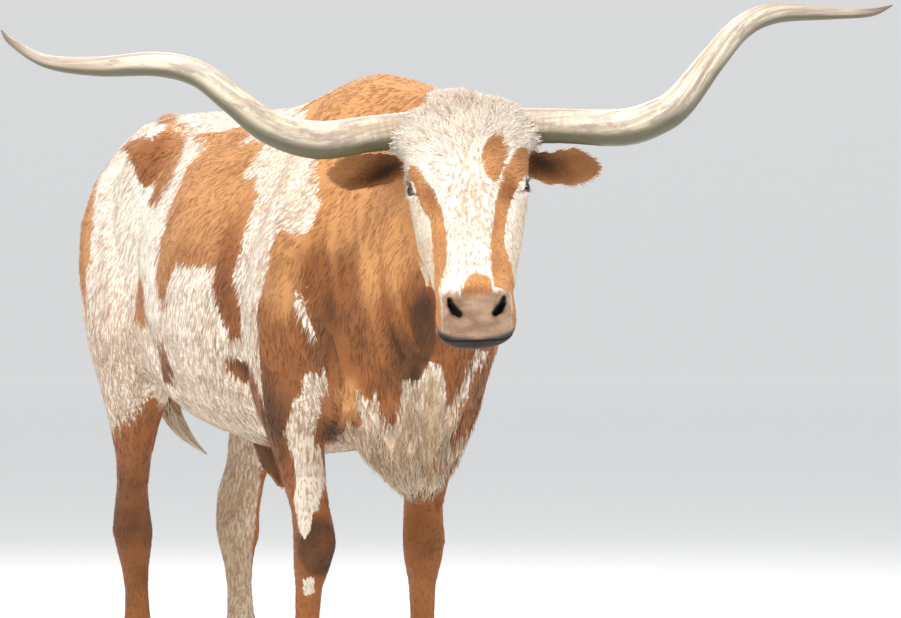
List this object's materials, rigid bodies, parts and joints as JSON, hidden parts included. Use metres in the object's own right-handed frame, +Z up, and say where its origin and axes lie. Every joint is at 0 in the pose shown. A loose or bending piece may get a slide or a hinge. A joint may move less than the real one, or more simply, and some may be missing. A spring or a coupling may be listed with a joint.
{
  "type": "longhorn steer figure",
  "caption": "Life-size standing figure of a long-horned steer with a patched roan coat, head turned a little to its right; stands on its hooves.",
  "frame": {"origin": "on the floor, under the centre of the animal's bounding box", "axes": "+Z up, -Y the way the animal faces, -X its own right side"},
  "size_m": [1.799, 2.2642, 1.6268],
  "materials": {
    "coat": "short dense hair, white with red-brown patches and roan speckle",
    "switch": "long coarse hair",
    "eye": "wet dark brown",
    "horn": "smooth ivory horn with a soft sheen, darker at the tips",
    "hoof": "dull dark horn with growth rings"
  },
  "bodies": {
    "root": {"head": "coat", "lower_jaw": "coat", "neck": "coat", "trunk": "coat", "sheath": "coat", "foreleg_right_upper": "coat", "foreleg_right_lower": "coat", "foreleg_left_upper": "coat", "foreleg_left_lower": "coat", "hindleg_right_upper": "coat", "hindleg_right_lower": "coat", "hindleg_left_upper": "coat", "hindleg_left_lower": "coat", "ear_right": "coat", "ear_left": "coat", "tail": "coat", "tail_switch": "switch", "eye_right": "eye", "eye_left": "eye", "horn_right": "horn", "horn_left": "horn", "hoof_foreleg_right_outer": "hoof", "hoof_foreleg_right_inner": "hoof", "hoof_foreleg_left_outer": "hoof", "hoof_foreleg_left_inner": "hoof", "hoof_hindleg_right_outer": "hoof", "hoof_hindleg_right_inner": "hoof", "hoof_hindleg_left_outer": "hoof", "hoof_hindleg_left_inner": "hoof", "dewclaw_foreleg_right_outer": "hoof", "dewclaw_foreleg_right_inner": "hoof", "dewclaw_foreleg_left_outer": "hoof", "dewclaw_foreleg_left_inner": "hoof", "dewclaw_hindleg_right_outer": "hoof", "dewclaw_hindleg_right_inner": "hoof", "dewclaw_hindleg_left_outer": "hoof", "dewclaw_hindleg_left_inner": "hoof"}
  },
  "joints": []
}
